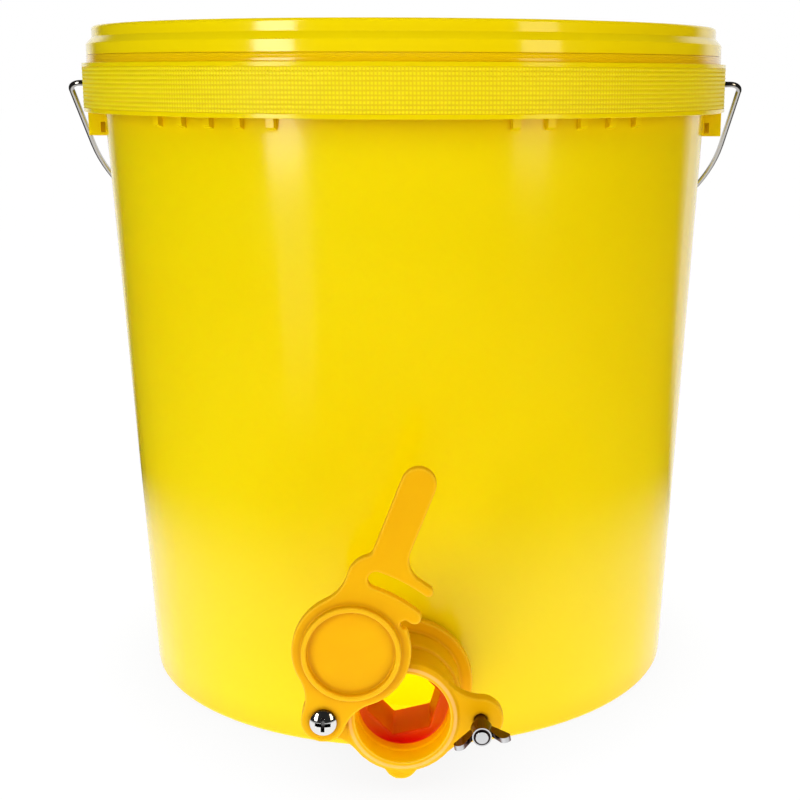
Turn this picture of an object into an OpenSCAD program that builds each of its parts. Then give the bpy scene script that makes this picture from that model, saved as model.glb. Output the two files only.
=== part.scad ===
// Honey bucket with a swinging gate: a tapered plastic tub with a press-on lid, a wire bail
// and a lever gate low on the front wall. Millimetres, +Z up, the tub's axis on Z,
// the underside of its foot ring at z = 0 and the gate towards -Y.

/* [Tub] */
// Outer radius of the wall at the floor line
base_r = 150; // [130:0.5:170]
// Slope of the wall from upright, in degrees
taper = 2.78; // [1.5:0.01:4]
// Thickness of the wall
wall_t = 2.2; // [1.6:0.1:3]
// Thickness of the floor
floor_t = 2.6; // [1.8:0.1:4]
// Height of the tub's rim
rim_z = 351; // [320:1:380]
// Depth of the hollow inside the foot ring
foot_h = 2; // [1:0.1:4]
// Width of the foot ring
foot_w = 9; // [5:0.5:15]
// Rounding of the lower outside edge
edge_r = 3; // [1.5:0.1:5]
// Height of the bead round the rim
bead_h = 4.5; // [3:0.1:7]
// How far the bead stands out from the wall
bead_out = 1.8; // [1.5:0.1:4]

/* [Collar] */
// Distance from the rim down to the collar's top
collar_drop = 12; // [9:0.1:16]
// Height of the collar
collar_h = 25; // [18:0.5:32]
// Radial gap between the wall and the inside of the collar
collar_gap = 6.9; // [5:0.1:10]
// Thickness of the collar's skirt, crests included
collar_t = 2.6; // [2:0.1:4]
// Thickness of the web that carries the collar
web_t = 2.4; // [1.6:0.1:3.5]
// Number of serrations round the collar
serration_n = 10; // [8:1:18]
// Depth of the serrations
serration_d = 0.7; // [0.3:0.05:1.2]
// Height of the plain lip above and below the serrations
lip_h = 2; // [1:0.1:3]
// Number of short ribs in each quarter under the collar
rib_n = 5; // [3:1:7]
// Angle from the front or back to the middle of a group of short ribs
rib_centre = 31.5; // [25:0.5:40]
// Turn of all the short ribs about the tub's axis, in degrees
rib_turn = 1.1; // [-3:0.1:3]
// Angle between two short ribs
rib_step = 6; // [4:0.5:8]
// Thickness of a short rib
rib_t = 4; // [2:0.1:6]
// How far a short rib reaches below the collar
rib_drop = 5.8; // [3:0.1:10]
// How far a short rib stands out from the wall below the collar
rib_out = 3; // [2:0.1:4.5]

/* [Bail lugs] */
// Width of a lug
lug_w = 44; // [34:1:60]
// How far a lug reaches below the collar
lug_drop = 13.5; // [8:0.5:20]
// Distance of a lug's outer face inside the collar's serrations
lug_in = 0.3; // [0.2:0.1:1.5]
// Thickness of a lug's walls
lug_t = 2.4; // [1.6:0.1:3.5]
// Height of the small window in a lug's side
window_h = 5.6; // [3:0.1:6]
// Width of the small window in a lug's side
window_w = 2.6; // [1.5:0.1:3]
// Height of the small window above the lug's lower edge
window_up = 1.7; // [1:0.1:2]
// Distance of the small window from the tub's wall
window_in = 1; // [0.6:0.1:2]

/* [Lid] */
// Height of the lid's top above the tub's rim
lid_rise = 6.9; // [5:0.1:9]
// Gap between the lid and the tub, where it drops over the rim
lid_gap = 0.4; // [0.3:0.05:0.8]
// Wall of the lid's tear strip
strip_t = 3; // [1.6:0.1:3.5]
// Height of the tear strip
strip_h = 3.6; // [2.5:0.1:4.5]
// How far the skirt stands out past the tear strip
skirt_out = 0.9; // [0.3:0.1:2]
// Height of the skirt
skirt_h = 5.7; // [4:0.1:7]
// Height of the sloped shoulder above the skirt
shoulder_h = 3.5; // [2:0.1:5]
// How far the shoulder slopes in
shoulder_in = 3.1; // [2:0.1:4.5]
// Rounding of the lid's top edges
chime_r = 1.6; // [0.8:0.1:2.2]
// Thickness of the lid's panel and plug wall
panel_t = 2.2; // [1.6:0.1:3]
// Depth of the stacking recess in the top of the lid
recess_d = 11; // [8:0.5:13]
// How far the plug reaches below the panel
plug_h = 3; // [2:0.5:6]
// How far the ridges round the tear strip stand out
strip_bead = 1.1; // [0.3:0.1:1.4]
// Number of ridges round the tear strip
strip_n = 3; // [1:1:4]
// Width of the ring that a second tub's foot nests round
stack_w = 3; // [2:0.5:6]
// Height of the ring that a second tub's foot nests round
stack_h = 1.4; // [0.6:0.1:1.8]

/* [Bail] */
// Diameter of the bail's wire
wire_d = 3.2; // [2.5:0.1:4.5]
// Distance of the bail's pivot below the collar's top
pivot_drop = 10.5; // [7:0.5:14]
// Gap between the collar and the bail's straight legs
leg_gap = 10.9; // [6:0.1:15]
// Length of a leg before it curves in
leg_l = 60; // [50:1:90]
// Radius of the small bend at the pivot
bend_r = 6; // [5:0.1:10]
// Diameter of the swaged head on the wire's end
swage_d = 5.4; // [4.8:0.1:7]
// Thickness of the swaged head
swage_t = 1.4; // [0.8:0.1:2]
// Play between the swaged head and the collar
swage_gap = 0.4; // [0.3:0.1:0.8]
// Length of the grip, and of the bail's straight middle
grip_l = 70; // [60:1:110]
// Diameter of the grip
grip_d = 23; // [18:0.5:28]
// Chamfer at the ends of the grip
grip_edge = 2; // [1:0.1:3]
// Depth of the grooves round the grip
groove_d = 1; // [0.4:0.1:1.6]
// Number of grooves round the grip
groove_n = 5; // [3:1:9]
// Gap between the hanging grip and the tub's wall
grip_gap = 0.3; // [0.2:0.1:1]

/* [Gate body] */
// Height of the gate's axis above the table
gate_z = 40; // [38:0.1:60]
// How far the mouth stands out from the wall
gate_l = 47; // [44:0.5:60]
// Turn of the gate body about its axis, as tightened, in degrees
gate_roll = 2.5; // [-5:0.5:5]
// Diameter of the mouth
mouth_d = 44.6; // [43:0.1:46]
// Wall of the mouth ring
mouth_t = 3.6; // [3:0.1:5]
// How far the plate with the ears reaches past the mouth ring
plate_out = 1.6; // [0.5:0.1:3]
// Depth of the chamfer inside the mouth
mouth_chamfer = 0.7; // [0.4:0.1:1.2]
// Depth of the wide first step of the bore
mouth_step = 12.5; // [4:0.5:15]
// How much the second step of the bore is narrower, on the radius
step_in = 0.4; // [0.2:0.1:2]
// Depth of the bore in front of the key passage
bore_depth = 18.5; // [16:0.5:22]
// Size of the six-sided key passage across its flats
key_af = 31.5; // [24:0.5:32]
// Length of the key passage
key_l = 27; // [14:0.5:27.5]
// Turn of the key passage in degrees
key_turn = 15.5; // [0:0.5:59]
// Diameter of the threaded tail
tail_d = 53; // [50:0.5:53.5]
// Wall of the threaded tail
tail_t = 3; // [2.5:0.1:4.5]
// How far the tail stands out past the nut, inside the tub
tail_out = 1; // [0.5:0.5:10]
// Clearance of the tail in its hole in the wall, on the radius
tail_gap = 0.7; // [0.3:0.1:1.5]
// Diameter of the flange
flange_d = 67; // [62:0.5:72]
// Thickness of the flange
flange_t = 5; // [3:0.1:7]
// Diameter of the step in front of the flange
hub_d = 54.5; // [53:0.5:57]
// Thickness of the step in front of the flange
hub_t = 15; // [3:0.5:18]
// Diameter of the neck
neck_d = 51; // [50:0.5:52]
// Thickness of the ears
ear_t = 7; // [6.5:0.1:9]
// Radius of the ears
ear_r = 10.6; // [8.5:0.1:12]
// Fillet between the ears and the plate
ear_fillet = 20; // [14:1:30]
// Height of the mouth ring's face above the ears
lip_rise = 1; // [0.5:0.1:2]
// Distance between the pivot screw and the clamp bolt
stud_span = 73; // [71:0.5:78]
// Radius of the drip lug under the mouth
drip_r = 8; // [5:0.5:12]
// How far the drip lug reaches below the plate
drip_drop = 4; // [1:0.1:6]
// Thickness of the drip lug
drip_t = 8; // [5:0.5:14]
// Least thickness of the gaskets
gasket_t = 1.5; // [0.8:0.1:3]
// How far the gaskets end inside the edges of the flange and the nut
gasket_in = 1.5; // [0.5:0.1:3]
// Thickness of the ring nut
nut_t = 7; // [6:0.5:14]
// Diameter of the ring nut
nut_d = 64; // [62:0.5:70]
// Number of finger notches round the ring nut
notch_n = 8; // [6:1:12]
// Radius of a finger notch
notch_r = 4; // [3:0.5:5]
// Depth of a finger notch
notch_d = 2.7; // [1.5:0.1:3]
// Length of a finger notch along the nut
notch_l = 4.5; // [3:0.5:5]
// Clearance of the ring nut on the tail, on the radius
nut_gap = 0.1; // [0.05:0.05:0.3]

/* [Swing gate] */
// Angle that the lever is open, from closed, in degrees
open_angle = 71; // [0:0.5:110]
// Gap between the mouth and the lever
face_gap = 0.3; // [0.2:0.05:0.6]
// Thickness of the lever
lever_t = 5; // [4:0.1:7]
// Diameter of the closing disc
disc_d = 54.8; // [53:0.2:58]
// Outside diameter of the rim on the disc
dish_d = 45.6; // [44:0.2:48]
// Width of the rim on the disc
dish_w = 2.4; // [1.5:0.1:4]
// Height of the rim on the disc
dish_h = 3.6; // [2:0.1:4.5]
// Radius of the pivot eye
eye_r = 10.4; // [8.5:0.1:11]
// Fillet between the pivot eye and the disc
eye_fillet = 20; // [14:1:30]
// Width of the arc slot
slot_w = 8; // [6.8:0.1:8.6]
// How far the slot reaches past the stud when the mouth is shut, in degrees
slot_past = 1.3; // [0:0.1:3]
// Width of the prong outside the slot
prong_w = 4.4; // [3:0.1:6]
// Width of the prong inside the slot
jaw_w = 6.5; // [4:0.1:8]
// How far the outer prong reaches round, in degrees
prong_sweep = 16.5; // [12:0.5:22]
// How far the inner prong reaches round, in degrees
jaw_sweep = 18.5; // [14:0.5:24]
// Radius of the notch under the inner prong
jaw_notch_r = 2.2; // [1:0.1:3]
// Turn of the notch back from the inner prong's end, in degrees
jaw_notch_turn = 1; // [0:0.1:1.5]
// Radius of the lever's shoulder
shoulder_r = 12; // [10:0.5:15]
// Distance of the shoulder's centre inside the middle of the slot
shoulder_back = 1; // [0:0.1:3]
// Offset of the shoulder from the lever's axis
shoulder_off = 3; // [0:0.5:6]
// Fillet between the shoulder and the disc
cheek_fillet = 20; // [12:1:30]
// Fillet between the shoulder and the handle
inner_fillet = 5; // [3:0.5:8]
// Fillet between the outer prong and the handle
outer_fillet = 12; // [6:0.5:16]
// Width of the handle
handle_w = 16; // [12:0.5:22]
// Length of the lever from its pivot to the tip
lever_l = 129.6; // [115:0.1:150]

/* [Fasteners] */
// Diameter of the screw, the bolt and their threads
thread_d = 6; // [5:0.1:6.4]
// Running clearance round a thread or shank, on the radius
shank_gap = 0.08; // [0.03:0.01:0.1]
// Diameter of the screw's head
head_d = 12.4; // [10:0.1:14]
// Height of the screw's head
head_h = 4; // [3:0.1:5]
// Height of the straight edge of the screw's head
head_edge = 1.5; // [0.8:0.1:2.5]
// Length of the cross recess from end to end
cross_l = 7.2; // [5:0.1:8]
// Width of the cross recess
cross_w = 1.7; // [1:0.1:2.2]
// Depth of the cross recess
cross_d = 2.4; // [1.5:0.1:2.8]
// Gap between the screw's head and the lever
head_gap = 0.3; // [0.2:0.05:0.5]
// Size of the bolt's head and the lock nut across their flats
hex_af = 10; // [9:0.1:12]
// Height of the bolt's head
bolt_head_h = 4; // [3:0.1:5]
// Depth of the round seats behind the ears
seat_d = 0.4; // [0.2:0.1:1]
// Clearance of the round seats about the washer and the bolt's head
seat_gap = 0.3; // [0.2:0.1:1]
// Depth of the pocket for the bolt's head
pocket_d = 2.5; // [1.5:0.1:3]
// Clearance round the bolt's head in its pocket
pocket_gap = 0.1; // [0.05:0.05:0.3]
// Height of the lock nut
lock_h = 6; // [5:0.1:7]
// Diameter of the washer
washer_d = 12; // [11:0.5:14]
// Thickness of the washer
washer_t = 1.4; // [0.8:0.1:2]
// How far the bolt and the screw stand out of their nuts
thread_out = 0.8; // [0.5:0.1:3]
// How far the wing nut stands off the lever
wing_gap = 2.7; // [0.3:0.1:4]
// Turn of the wing nut, in degrees
wing_turn = 12.6; // [-90:0.1:90]
// Diameter of the wing nut's hub
hub_nut_d = 10.4; // [9:0.1:13]
// Diameter of the wing nut's hub at its front
hub_top_d = 9; // [8:0.1:10]
// Height of the wing nut's hub
hub_nut_h = 8; // [6:0.1:10]
// Height of the wings' roots above and below the ends of the hub
wing_root = 1; // [0.5:0.1:2]
// Distance from the bolt's axis to a wing's tip
wing_r = 13; // [11:0.1:16]
// Thickness of the wings
wing_t = 2.4; // [1.5:0.1:3.5]
// Height of a wing's tip
wing_tip = 2.6; // [1.8:0.1:3.2]
// How far the wings rise above the hub
wing_rise = 7; // [0:0.1:9]

/* [Hidden] */
$fn = 96;
// A little more than a cut needs
eps = 0.5;
// Steps in a rounded edge of a turned outline
round_n = 5;
// Overlap of two arcs that meet smoothly, so that they cross and don't just touch
blend = 0.05;

// Tub and collar
slope = tan(taper);
function wall_r(z) = base_r + slope * z;
floor_z = foot_h + floor_t;
collar_top = rim_z - collar_drop;
collar_bottom = collar_top - collar_h;
web_z = collar_top - web_t;
skirt_in = wall_r(collar_top) + collar_gap;
collar_r = skirt_in + collar_t;
serration_h = (collar_h - 2 * lip_h) / serration_n;
// Shares of a serration's height where its root ends and its crest starts
root_share = 0.05;
crest_share = 0.4;
bead_r = wall_r(rim_z) + bead_out;
lug_r = collar_r - serration_d - lug_in;
lug_z = collar_bottom - lug_drop;
window_z = lug_z + window_up;
window_x = sqrt(pow(wall_r(window_z + window_h), 2) - pow(lug_w / 2, 2)) + window_in;
// Half the fill of a rib or lug into the wall, which joins them
root = wall_t / 2;

// Lid, from the tear strip up
lid_in = bead_r + lid_gap;
strip_r = lid_in + strip_t;
skirt_r = strip_r + skirt_out;
chime_out = skirt_r - shoulder_in;
strip_z = collar_top + lid_gap;
skirt_z = strip_z + strip_h;
shoulder_z = skirt_z + skirt_h;
chime_z = shoulder_z + shoulder_h;
lid_z = rim_z + lid_rise;
panel_z = lid_z - recess_d;
plug_r = wall_r(panel_z - panel_t - plug_h) - wall_t - lid_gap;
plug_z = panel_z - panel_t - plug_h;
chime_in = plug_r - panel_t;
foot_r = base_r - foot_w;
stack_r = foot_r - foot_h - lid_gap;

// Bail
wire_r = wire_d / 2;
pivot_z = collar_top - pivot_drop;
bail_x = collar_r + leg_gap + wire_r;
straight = grip_l / 2;
corner_r = bail_x - straight;
bail_reach = leg_l + corner_r;
swage_x = lug_r - lug_t - swage_gap - swage_t;
grip_r = grip_d / 2;
// How much thinner the bends are than the straights, and how far the straights lap into them
bend_thin = 0.02;
bend_lap = 0.2;
hang_reach = wall_r(pivot_z) + (grip_r + grip_gap) / cos(taper);
hang = taper + acos(hang_reach * cos(taper) / bail_reach);

// Gate: x across, y up and z out of the wall, from the wall's surface on the gate's axis
gate_y = wall_r(gate_z);
mouth_r = mouth_d / 2;
ring_r = mouth_r + mouth_t;
plate_r = ring_r + plate_out;
tail_r = tail_d / 2;
hole_r = tail_r + tail_gap;
flange_r = flange_d / 2;
flange_back = slope * flange_r + gasket_t;
ear_z = gate_l - lip_rise - ear_t;
ear_face = gate_l - lip_rise;
stud_x = stud_span / 2;
step_z = gate_l - bore_depth;
key_z = step_z - key_l;
nut_r = nut_d / 2;
inner_wall = wall_r(gate_z - nut_r) - wall_t / cos(taper);
nut_face = sqrt(inner_wall * inner_wall - nut_r * nut_r) - gate_y - gasket_t;
tail_z = nut_face - nut_t - tail_out;

// Lever
lever_z = gate_l + face_gap;
lever_face = lever_z + lever_t;
disc_r = disc_d / 2;
dish_r = dish_d / 2;
slot_in = stud_span - slot_w / 2;
slot_out = stud_span + slot_w / 2;
prong_out = slot_out + prong_w;
jaw_in = slot_in - jaw_w;
tip_r = handle_w / 2;

// Fasteners
shank_r = thread_d / 2;
bore_r = shank_r + shank_gap;
head_z = lever_face + head_gap;
head_r = head_d / 2;
dome_h = head_h - head_edge;
dome_r = (head_r * head_r + dome_h * dome_h) / (2 * dome_h);
// A six-sided circle's radius over half its size across flats
hex_k = 1 / cos(30);
seat_z = ear_z + seat_d;
seat_r = max(washer_d / 2, hex_af / 2 * hex_k) + seat_gap;
lock_z = seat_z - washer_t - lock_h;
screw_end = lock_z - thread_out;
bolt_seat = ear_z + pocket_d;
wing_z = lever_face + wing_gap;
hub_nut_r = hub_nut_d / 2;
hub_top_r = hub_top_d / 2;
bolt_tip = wing_z + hub_nut_h + thread_out;

// Places children in the gate's own axes
module at_gate() {
    translate([0, -gate_y, gate_z]) rotate([90, 0, 0]) rotate([0, 0, -gate_roll]) children();
}

// Centre of a fillet of radius f outside two circles, the second d along x from the first
function fillet_at(d, r1, r2, f) =
    let (x = ((r1 + f) * (r1 + f) - (r2 + f) * (r2 + f) + d * d) / (2 * d))
    [x, sqrt((r1 + f) * (r1 + f) - x * x)];

// Fills the notch between two circles on one side with a hollow fillet
module waist(d, r1, r2, f) {
    c = fillet_at(d, r1, r2, f);
    difference() {
        polygon([[0, 0], c, [d, 0]]);
        translate(c) circle(f + blend);
    }
}

// A slice of a flat ring about the origin, from angle a1 to angle a2
module ring_slice(r1, r2, a1, a2) {
    far = 2 * r2;
    difference() {
        intersection() {
            circle(r2);
            polygon([[0, 0], [far * cos(a1), far * sin(a1)], [far * cos(a2), far * sin(a2)]]);
        }
        circle(r1);
    }
}

// The space taken up by the wall and everything inside it, grown by d
module tub_space(d) {
    translate([0, 0, -eps])
        cylinder(r1 = wall_r(-eps) + d, r2 = wall_r(rim_z) + d, h = rim_z + eps, $fn = 4 * $fn);
}

// Outline of the tub, turned about its axis
module tub_profile() {
    inner_top = wall_r(rim_z) - wall_t;
    inner_low = wall_r(floor_z) - wall_t;
    edge = [for (i = [0:round_n]) let (a = -90 + 90 * i / round_n)
        [wall_r(edge_r) - edge_r + edge_r * cos(a), edge_r + edge_r * sin(a)]];
    teeth = [for (i = [0:serration_n - 1]) let (z = collar_bottom + lip_h + i * serration_h)
        each [[collar_r - serration_d, z + root_share * serration_h],
              [collar_r, z + crest_share * serration_h],
              [collar_r, z + (1 - crest_share) * serration_h],
              [collar_r - serration_d, z + (1 - root_share) * serration_h]]];
    polygon(concat(
        [[0, foot_h], [foot_r - foot_h, foot_h], [foot_r, 0]],
        edge,
        [[wall_r(web_z), web_z], [skirt_in, web_z], [skirt_in, collar_bottom],
         [collar_r, collar_bottom], [collar_r, collar_bottom + lip_h]],
        teeth,
        [[collar_r, collar_top - lip_h], [collar_r, collar_top], [wall_r(collar_top), collar_top],
         [wall_r(rim_z - bead_h - bead_out), rim_z - bead_h - bead_out], [bead_r, rim_z - bead_h],
         [bead_r, rim_z], [inner_top, rim_z], [inner_low, floor_z], [0, floor_z]]));
}

// Short ribs between the wall and the collar, in four groups
module ribs() {
    low = collar_bottom - rib_drop;
    first = 90 - rib_centre - rib_step * (rib_n - 1) / 2;
    for (side = [0:3], i = [0:rib_n - 1]) {
        turn = first + i * rib_step;
        rotate([0, 0, side * 90 + (side % 2 == 0 ? turn : 90 - turn) - rib_turn])
            translate([0, rib_t / 2, 0]) rotate([90, 0, 0]) linear_extrude(rib_t)
                polygon([[wall_r(low) - root, low], [wall_r(low) + rib_out, low + rib_out / 2],
                         [wall_r(collar_bottom) + rib_out, collar_bottom],
                         [skirt_in + root, collar_bottom + lip_h], [skirt_in + root, web_z + root],
                         [wall_r(web_z) - root, web_z + root]]);
    }
}

// One pocket lug, hanging under the collar on +X, open below
module lug() {
    difference() {
        intersection() {
            translate([0, 0, lug_z]) cylinder(r = lug_r, h = web_z + root - lug_z);
            translate([0, -lug_w / 2, lug_z]) cube([2 * collar_r, lug_w, collar_top]);
        }
        intersection() {
            translate([0, 0, lug_z - eps]) cylinder(r = lug_r - lug_t, h = web_z - lug_z + eps);
            translate([0, lug_t - lug_w / 2, lug_z - eps])
                cube([2 * collar_r, lug_w - 2 * lug_t, collar_top]);
        }
        translate([window_x, -lug_w, window_z]) cube([window_w, 2 * lug_w, window_h]);
        tub_space(-root);
    }
}

module bucket() {
    color("gold") difference() {
        union() {
            rotate_extrude() tub_profile();
            ribs();
            lug();
            mirror([1, 0, 0]) lug();
        }
        for (s = [-1, 1]) translate([s * skirt_in, 0, pivot_z]) rotate([0, 90, 0])
            cylinder(r = wire_r + shank_gap, h = 4 * collar_t, center = true);
        at_gate() translate([0, 0, -gate_y / 4]) cylinder(r = hole_r, h = gate_y / 4 + gate_l);
    }
}

module lid() {
    top_edge = [for (i = [0:round_n]) let (a = 90 * i / round_n)
        [chime_out - chime_r + chime_r * cos(a), lid_z - chime_r + chime_r * sin(a)]];
    in_edge = [for (i = [0:round_n]) let (a = 90 + 90 * i / round_n)
        [chime_in + chime_r + chime_r * cos(a), lid_z - chime_r + chime_r * sin(a)]];
    ridge_h = strip_h / strip_n;
    ridges = [for (i = [0:strip_n - 1]) let (z = strip_z + (i + 0.5) * ridge_h, half = crest_share * ridge_h)
        each [[strip_r, z - half], [strip_r + strip_bead, z], [strip_r, z + half]]];
    color("gold") rotate_extrude() polygon(concat(
        [[0, panel_z - panel_t], [plug_r - panel_t, panel_z - panel_t], [plug_r - panel_t, plug_z],
         [plug_r, plug_z], [plug_r, rim_z + lid_gap], [lid_in, rim_z + lid_gap], [lid_in, strip_z],
         [strip_r, strip_z]],
        ridges,
        [[strip_r, skirt_z], [skirt_r, skirt_z], [skirt_r, shoulder_z], [chime_out, chime_z]],
        top_edge, in_edge,
        [[chime_in, panel_z], [stack_r, panel_z], [stack_r, panel_z + stack_h],
         [stack_r - stack_w, panel_z + stack_h], [stack_r - stack_w, panel_z], [0, panel_z]]));
}

// A quarter bend of the wire about the origin, from angle a on, a little thinner than the straights
module quarter_bend(r, a) {
    rotate([0, 0, a]) rotate_extrude(angle = 90) translate([r, 0]) circle(wire_r - bend_thin);
}

// A straight of the wire along +Z, long enough to take in the start of a bend at each end
module straight_wire(l) {
    translate([0, 0, -bend_lap]) cylinder(r = wire_r, h = l + 2 * bend_lap);
}

// One side of the flat bail, its pivot on X and its grip towards +Y; side is 1 or -1
module bail_side(side) {
    turn = [0, 90 * side, 0];
    translate([side * swage_x, 0, 0]) rotate(turn) cylinder(r = swage_d / 2, h = swage_t);
    translate([side * swage_x, 0, 0]) rotate(turn) straight_wire(bail_x - bend_r - swage_x);
    translate([side * (bail_x - bend_r), bend_r, 0]) quarter_bend(bend_r, side > 0 ? -90 : 180);
    translate([side * bail_x, bend_r, 0]) rotate([-90, 0, 0]) straight_wire(leg_l - bend_r);
    translate([side * straight, leg_l, 0]) quarter_bend(corner_r, side > 0 ? 0 : 90);
}

// Places children in the hanging bail's own axes
module at_bail() {
    translate([0, 0, pivot_z]) rotate([-hang, 0, 0]) children();
}

module bail() {
    color("silver") at_bail() {
        for (side = [-1, 1]) bail_side(side);
        translate([-straight, bail_reach, 0]) rotate([0, 90, 0]) straight_wire(2 * straight);
    }
}

module bail_grip() {
    pitch = grip_l / (groove_n + 1);
    grooves = [for (i = [1:groove_n]) let (z = i * pitch - grip_l / 2)
        each [[grip_r, z - groove_d], [grip_r - groove_d, z], [grip_r, z + groove_d]]];
    color("gold") at_bail() translate([0, bail_reach, 0]) rotate([0, 90, 0])
        rotate_extrude() polygon(concat(
            [[wire_r + shank_gap, -grip_l / 2], [grip_r - grip_edge, -grip_l / 2],
             [grip_r, grip_edge - grip_l / 2]],
            grooves,
            [[grip_r, grip_l / 2 - grip_edge], [grip_r - grip_edge, grip_l / 2],
             [wire_r + shank_gap, grip_l / 2]]));
}

// Flat outline of the round plate with its two ears
module ears_outline() {
    circle(plate_r);
    for (s = [0, 1]) mirror([s, 0]) {
        translate([stud_x, 0]) circle(ear_r);
        waist(stud_x, plate_r, ear_r, ear_fillet);
        mirror([0, 1]) waist(stud_x, plate_r, ear_r, ear_fillet);
    }
}

module gate_body() {
    color("orange") at_gate() difference() {
        union() {
            translate([0, 0, tail_z]) cylinder(r = tail_r, h = flange_back + eps - tail_z);
            translate([0, 0, flange_back]) cylinder(r = flange_r, h = flange_t);
            translate([0, 0, flange_back]) cylinder(r = hub_d / 2, h = flange_t + hub_t);
            translate([0, 0, flange_back]) cylinder(r = neck_d / 2, h = ear_z + eps - flange_back);
            translate([0, 0, ear_z]) linear_extrude(ear_t) ears_outline();
            translate([0, 0, ear_z]) cylinder(r = ring_r, h = gate_l - ear_z);
            translate([0, drip_r - plate_r - drip_drop, ear_face - drip_t])
                cylinder(r = drip_r, h = drip_t - eps);
        }
        translate([0, 0, tail_z - eps]) cylinder(r = tail_r - tail_t, h = key_z - tail_z + eps);
        translate([0, 0, key_z - eps]) rotate([0, 0, key_turn])
            cylinder(r = key_af / 2 * hex_k, h = key_l + 2 * eps, $fn = 6);
        translate([0, 0, step_z]) cylinder(r = mouth_r - step_in, h = bore_depth + eps);
        translate([0, 0, gate_l - mouth_step]) cylinder(r = mouth_r, h = mouth_step + eps);
        translate([0, 0, gate_l - mouth_chamfer])
            cylinder(r1 = mouth_r, r2 = mouth_r + 2 * mouth_chamfer, h = 2 * mouth_chamfer);
        for (s = [-1, 1]) translate([s * stud_x, 0, 0]) {
            translate([0, 0, ear_z - eps]) cylinder(r = bore_r, h = ear_t + 2 * eps);
            translate([0, 0, screw_end - eps]) cylinder(r = seat_r, h = seat_z - screw_end + eps);
        }
        translate([stud_x, 0, ear_z - eps])
            cylinder(r = (hex_af / 2 + pocket_gap) * hex_k, h = pocket_d + eps, $fn = 6);
    }
}

module outer_gasket() {
    color("dimgray") difference() {
        at_gate() translate([0, 0, flange_back - gate_l]) difference() {
            cylinder(r = flange_r - gasket_in, h = gate_l);
            translate([0, 0, -eps]) cylinder(r = hole_r, h = gate_l + 2 * eps);
        }
        tub_space(0);
    }
}

module inner_gasket() {
    color("dimgray") intersection() {
        at_gate() translate([0, 0, nut_face]) difference() {
            cylinder(r = nut_r - gasket_in, h = gate_l);
            translate([0, 0, -eps]) cylinder(r = hole_r, h = gate_l + 2 * eps);
        }
        tub_space(-wall_t / cos(taper));
    }
}

module gate_nut() {
    color("orange") at_gate() translate([0, 0, nut_face - nut_t]) difference() {
        cylinder(r = nut_r, h = nut_t);
        translate([0, 0, -eps]) cylinder(r = tail_r + nut_gap, h = nut_t + 2 * eps);
        for (i = [0:notch_n - 1]) rotate([0, 0, i * 360 / notch_n])
            translate([nut_r + notch_r - notch_d, 0, -eps]) cylinder(r = notch_r, h = notch_l + eps);
    }
}

// Flat outline of the lever, its pivot at the origin and its handle along +X
module lever_outline() {
    shoulder = [stud_span - shoulder_back, shoulder_off];
    shoulder_to_disc = shoulder - [stud_x, 0];
    cheek_d = norm(shoulder_to_disc);
    cheek_turn = atan2(shoulder_to_disc.y, shoulder_to_disc.x);
    inner_at = [shoulder.x + sqrt(pow(shoulder_r + inner_fillet, 2)
                                  - pow(tip_r + inner_fillet - shoulder_off, 2)), tip_r + inner_fillet];
    outer_at = [sqrt(pow(prong_out + outer_fillet, 2) - pow(tip_r + outer_fillet, 2)),
                -tip_r - outer_fillet];
    prong_mid = (slot_out + prong_out) / 2;
    jaw_mid = (jaw_in + slot_in) / 2;
    difference() {
        union() {
            circle(eye_r);
            translate([stud_x, 0]) circle(disc_r);
            for (s = [0, 1]) mirror([0, s]) waist(stud_x, eye_r, disc_r, eye_fillet);
            translate(shoulder) circle(shoulder_r);
            translate([stud_x, 0]) rotate(cheek_turn) waist(cheek_d, disc_r, shoulder_r, cheek_fillet);
            ring_slice(stud_x, prong_out, -prong_sweep, 0);
            ring_slice(jaw_in, stud_span, -jaw_sweep, 0);
            rotate(-prong_sweep) translate([prong_mid, 0]) circle(prong_w / 2 - blend);
            rotate(-jaw_sweep) translate([jaw_mid, 0]) circle(jaw_w / 2 - blend);
            translate([stud_span, -tip_r]) square([lever_l - tip_r - stud_span, handle_w]);
            translate([lever_l - tip_r, 0]) circle(tip_r);
            difference() {
                polygon([[stud_span, 0], [inner_at.x, 0], inner_at, shoulder]);
                translate(inner_at) circle(inner_fillet + blend);
            }
            difference() {
                polygon([[0, 0], [outer_at.x, 0], outer_at]);
                translate(outer_at) circle(outer_fillet + blend);
            }
        }
        rotate(jaw_notch_turn - jaw_sweep) translate([jaw_in - jaw_notch_r, 0]) circle(jaw_notch_r + blend);
        rotate(slot_past) translate([stud_span, 0]) circle(slot_w / 2 + blend);
        ring_slice(slot_in, slot_out, -2 * jaw_sweep, slot_past);
    }
}

module swing_gate() {
    color("orange") at_gate() translate([-stud_x, 0, lever_z]) rotate([0, 0, open_angle]) difference() {
        union() {
            linear_extrude(lever_t) lever_outline();
            translate([stud_x, 0, 0]) cylinder(r = dish_r, h = lever_t + dish_h);
        }
        translate([stud_x, 0, lever_t]) cylinder(r = dish_r - dish_w, h = dish_h + eps);
        translate([0, 0, -eps]) cylinder(r = bore_r, h = lever_t + 2 * eps);
    }
}

module pivot_screw() {
    color("silver") at_gate() translate([-stud_x, 0, 0]) difference() {
        union() {
            translate([0, 0, screw_end]) cylinder(r = shank_r, h = head_z + eps - screw_end);
            intersection() {
                translate([0, 0, head_z]) cylinder(r = head_r, h = head_h);
                translate([0, 0, head_z + head_h - dome_r]) sphere(dome_r);
            }
        }
        for (a = [0, 90]) rotate([0, 0, a])
            translate([-cross_l / 2, -cross_w / 2, head_z + head_h - cross_d])
                cube([cross_l, cross_w, head_h]);
    }
}

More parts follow.
